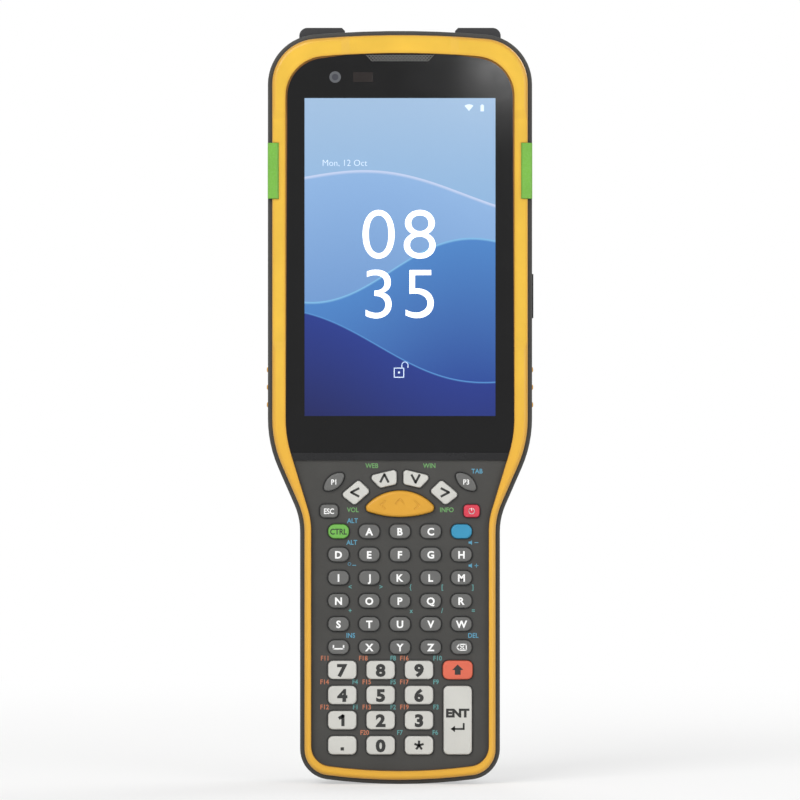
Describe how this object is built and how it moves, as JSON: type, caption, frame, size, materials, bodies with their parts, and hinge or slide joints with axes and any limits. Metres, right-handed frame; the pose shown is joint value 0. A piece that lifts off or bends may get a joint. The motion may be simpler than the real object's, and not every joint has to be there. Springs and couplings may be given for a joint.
{
  "type": "portable barcode data terminal",
  "caption": "Rugged handheld data terminal with touch screen, full keypad, scan triggers, rear scanner module, hand strap bar and removable battery.",
  "frame": {"origin": "centre of the bounding box at the bottom end of the terminal", "axes": "+Z along the length towards the scan window, -Y out of the screen and keys, +X to the right seen from the front"},
  "size_m": [0.079, 0.0434, 0.2233],
  "materials": {
    "housing": "fine grain, satin",
    "panel": "fine grain, matte",
    "battery": "fine grain, satin",
    "yellow": "satin",
    "amber": "satin",
    "light_green": "translucent",
    "screen_glass": "polished",
    "display": "lit display",
    "trim_black": "polished",
    "mesh": "woven",
    "rubber_black": "matte",
    "dark_glass": "polished",
    "key_white": "satin",
    "key_grey": "satin",
    "key_green": "satin",
    "key_sky": "satin",
    "key_crimson": "satin",
    "key_coral": "satin",
    "board_green": "solder mask",
    "engine_metal": "brushed",
    "lens_black": "polished",
    "flash_yellow": "clear",
    "screw_steel": "machined",
    "insert_brass": "machined",
    "contact_gold": "plated"
  },
  "bodies": {
    "terminal": {"rear_housing": "housing", "strap_bar": "housing", "strap_anchor": "housing", "scanner_cover": "housing", "front_housing": "panel", "bezel_frame": "yellow", "corner_inserts": "yellow", "light_bars": "light_green", "touch_glass": "screen_glass", "lcd_panel": "display", "trim_strip": "trim_black", "camera_window": "trim_black", "speaker_grilles": "trim_black", "front_camera": "trim_black", "light_sensor": "trim_black", "earpiece_mesh": "mesh", "scanner_bumper": "rubber_black", "port_strap": "rubber_black", "keypad_membrane": "rubber_black", "scan_window": "dark_glass", "main_board": "board_green", "keypad_board": "board_green", "scan_engine": "engine_metal", "port_connector": "engine_metal", "rear_camera": "lens_black", "flash_led": "flash_yellow", "back_screws": "screw_steel", "housing_screws": "screw_steel", "grip_inserts": "insert_brass", "battery_contacts": "contact_gold", "dock_contacts": "contact_gold"},
    "scan_key_body": {"scan_key": "amber"},
    "key_p1_body": {"key_p1": "key_grey"},
    "key_p3_body": {"key_p3": "key_grey"},
    "key_up_body": {"key_up": "key_white"},
    "key_down_body": {"key_down": "key_white"},
    "key_left_body": {"key_left": "key_white"},
    "key_right_body": {"key_right": "key_white"},
    "key_escape_body": {"key_escape": "key_grey"},
    "key_power_body": {"key_power": "key_crimson"},
    "key_control_body": {"key_control": "key_green"},
    "key_blue_body": {"key_blue": "key_sky"},
    "key_shift_body": {"key_shift": "key_coral"},
    "key_enter_body": {"key_enter": "key_white"},
    "keys_a_to_c_body": {"keys_a_to_c": "key_grey"},
    "keys_d_to_h_body": {"keys_d_to_h": "key_grey"},
    "keys_i_to_m_body": {"keys_i_to_m": "key_grey"},
    "keys_n_to_r_body": {"keys_n_to_r": "key_grey"},
    "keys_s_to_w_body": {"keys_s_to_w": "key_grey"},
    "keys_space_to_backspace_body": {"keys_space_to_backspace": "key_grey"},
    "keys_7_to_9_body": {"keys_7_to_9": "key_white"},
    "keys_4_to_6_body": {"keys_4_to_6": "key_white"},
    "keys_1_to_3_body": {"keys_1_to_3": "key_white"},
    "keys_dot_to_star_body": {"keys_dot_to_star": "key_white"},
    "trigger_right_body": {"trigger_right": "amber"},
    "trigger_left_body": {"trigger_left": "amber"},
    "release_right_body": {"release_right": "housing"},
    "release_left_body": {"release_left": "housing"},
    "port_cover_body": {"port_cover": "rubber_black"},
    "battery_pack_body": {"battery_pack": "battery"}
  },
  "joints": [
    {"name": "scan_key_press", "type": "slide", "parent": "terminal", "child": "scan_key_body", "axis": [0, 1, 0], "range_m": [0, 0.0006], "stiffness_N_per_m": 800, "springref_m": -0.0002},
    {"name": "key_p1_press", "type": "slide", "parent": "terminal", "child": "key_p1_body", "axis": [0, 1, 0], "range_m": [0, 0.0006], "stiffness_N_per_m": 800, "springref_m": -0.0002},
    {"name": "key_p3_press", "type": "slide", "parent": "terminal", "child": "key_p3_body", "axis": [0, 1, 0], "range_m": [0, 0.0006], "stiffness_N_per_m": 800, "springref_m": -0.0002},
    {"name": "key_up_press", "type": "slide", "parent": "terminal", "child": "key_up_body", "axis": [0, 1, 0], "range_m": [0, 0.0006], "stiffness_N_per_m": 800, "springref_m": -0.0002},
    {"name": "key_down_press", "type": "slide", "parent": "terminal", "child": "key_down_body", "axis": [0, 1, 0], "range_m": [0, 0.0006], "stiffness_N_per_m": 800, "springref_m": -0.0002},
    {"name": "key_left_press", "type": "slide", "parent": "terminal", "child": "key_left_body", "axis": [0, 1, 0], "range_m": [0, 0.0006], "stiffness_N_per_m": 800, "springref_m": -0.0002},
    {"name": "key_right_press", "type": "slide", "parent": "terminal", "child": "key_right_body", "axis": [0, 1, 0], "range_m": [0, 0.0006], "stiffness_N_per_m": 800, "springref_m": -0.0002},
    {"name": "key_escape_press", "type": "slide", "parent": "terminal", "child": "key_escape_body", "axis": [0, 1, 0], "range_m": [0, 0.0006], "stiffness_N_per_m": 800, "springref_m": -0.0002},
    {"name": "key_power_press", "type": "slide", "parent": "terminal", "child": "key_power_body", "axis": [0, 1, 0], "range_m": [0, 0.0006], "stiffness_N_per_m": 800, "springref_m": -0.0002},
    {"name": "key_control_press", "type": "slide", "parent": "terminal", "child": "key_control_body", "axis": [0, 1, 0], "range_m": [0, 0.0006], "stiffness_N_per_m": 800, "springref_m": -0.0002},
    {"name": "key_blue_press", "type": "slide", "parent": "terminal", "child": "key_blue_body", "axis": [0, 1, 0], "range_m": [0, 0.0006], "stiffness_N_per_m": 800, "springref_m": -0.0002},
    {"name": "key_shift_press", "type": "slide", "parent": "terminal", "child": "key_shift_body", "axis": [0, 1, 0], "range_m": [0, 0.0006], "stiffness_N_per_m": 800, "springref_m": -0.0002},
    {"name": "key_enter_press", "type": "slide", "parent": "terminal", "child": "key_enter_body", "axis": [0, 1, 0], "range_m": [0, 0.0006], "stiffness_N_per_m": 800, "springref_m": -0.0002},
    {"name": "keys_a_to_c_press", "type": "slide", "parent": "terminal", "child": "keys_a_to_c_body", "axis": [0, 1, 0], "range_m": [0, 0.0006], "stiffness_N_per_m": 800, "springref_m": -0.0002},
    {"name": "keys_d_to_h_press", "type": "slide", "parent": "terminal", "child": "keys_d_to_h_body", "axis": [0, 1, 0], "range_m": [0, 0.0006], "stiffness_N_per_m": 800, "springref_m": -0.0002},
    {"name": "keys_i_to_m_press", "type": "slide", "parent": "terminal", "child": "keys_i_to_m_body", "axis": [0, 1, 0], "range_m": [0, 0.0006], "stiffness_N_per_m": 800, "springref_m": -0.0002},
    {"name": "keys_n_to_r_press", "type": "slide", "parent": "terminal", "child": "keys_n_to_r_body", "axis": [0, 1, 0], "range_m": [0, 0.0006], "stiffness_N_per_m": 800, "springref_m": -0.0002},
    {"name": "keys_s_to_w_press", "type": "slide", "parent": "terminal", "child": "keys_s_to_w_body", "axis": [0, 1, 0], "range_m": [0, 0.0006], "stiffness_N_per_m": 800, "springref_m": -0.0002},
    {"name": "keys_space_to_backspace_press", "type": "slide", "parent": "terminal", "child": "keys_space_to_backspace_body", "axis": [0, 1, 0], "range_m": [0, 0.0006], "stiffness_N_per_m": 800, "springref_m": -0.0002},
    {"name": "keys_7_to_9_press", "type": "slide", "parent": "terminal", "child": "keys_7_to_9_body", "axis": [0, 1, 0], "range_m": [0, 0.0006], "stiffness_N_per_m": 800, "springref_m": -0.0002},
    {"name": "keys_4_to_6_press", "type": "slide", "parent": "terminal", "child": "keys_4_to_6_body", "axis": [0, 1, 0], "range_m": [0, 0.0006], "stiffness_N_per_m": 800, "springref_m": -0.0002},
    {"name": "keys_1_to_3_press", "type": "slide", "parent": "terminal", "child": "keys_1_to_3_body", "axis": [0, 1, 0], "range_m": [0, 0.0006], "stiffness_N_per_m": 800, "springref_m": -0.0002},
    {"name": "keys_dot_to_star_press", "type": "slide", "parent": "terminal", "child": "keys_dot_to_star_body", "axis": [0, 1, 0], "range_m": [0, 0.0006], "stiffness_N_per_m": 800, "springref_m": -0.0002},
    {"name": "trigger_right_pull", "type": "slide", "parent": "terminal", "child": "trigger_right_body", "axis": [-1, 0, 0], "range_m": [0, 0.0012], "stiffness_N_per_m": 900, "springref_m": -0.0003},
    {"name": "trigger_left_pull", "type": "slide", "parent": "terminal", "child": "trigger_left_body", "axis": [1, 0, 0], "range_m": [0, 0.0012], "stiffness_N_per_m": 900, "springref_m": -0.0003},
    {"name": "release_right_push", "type": "slide", "parent": "terminal", "child": "release_right_body", "axis": [-1, 0, 0], "range_m": [0, 0.0009], "stiffness_N_per_m": 1200, "springref_m": -0.0003},
    {"name": "release_left_push", "type": "slide", "parent": "terminal", "child": "release_left_body", "axis": [1, 0, 0], "range_m": [0, 0.0009], "stiffness_N_per_m": 1200, "springref_m": -0.0003},
    {"name": "port_cover_hinge", "type": "hinge", "parent": "terminal", "child": "port_cover_body", "pos_m": [0.0316, 0.0029, 0.144], "axis": [0, 0, 1], "range_deg": [0, 95], "stiffness_Nm_per_rad": 0.05},
    {"name": "battery_lift", "type": "slide", "parent": "terminal", "child": "battery_pack_body", "axis": [0, 1, 0], "range_m": [0, 0.02]}
  ]
}
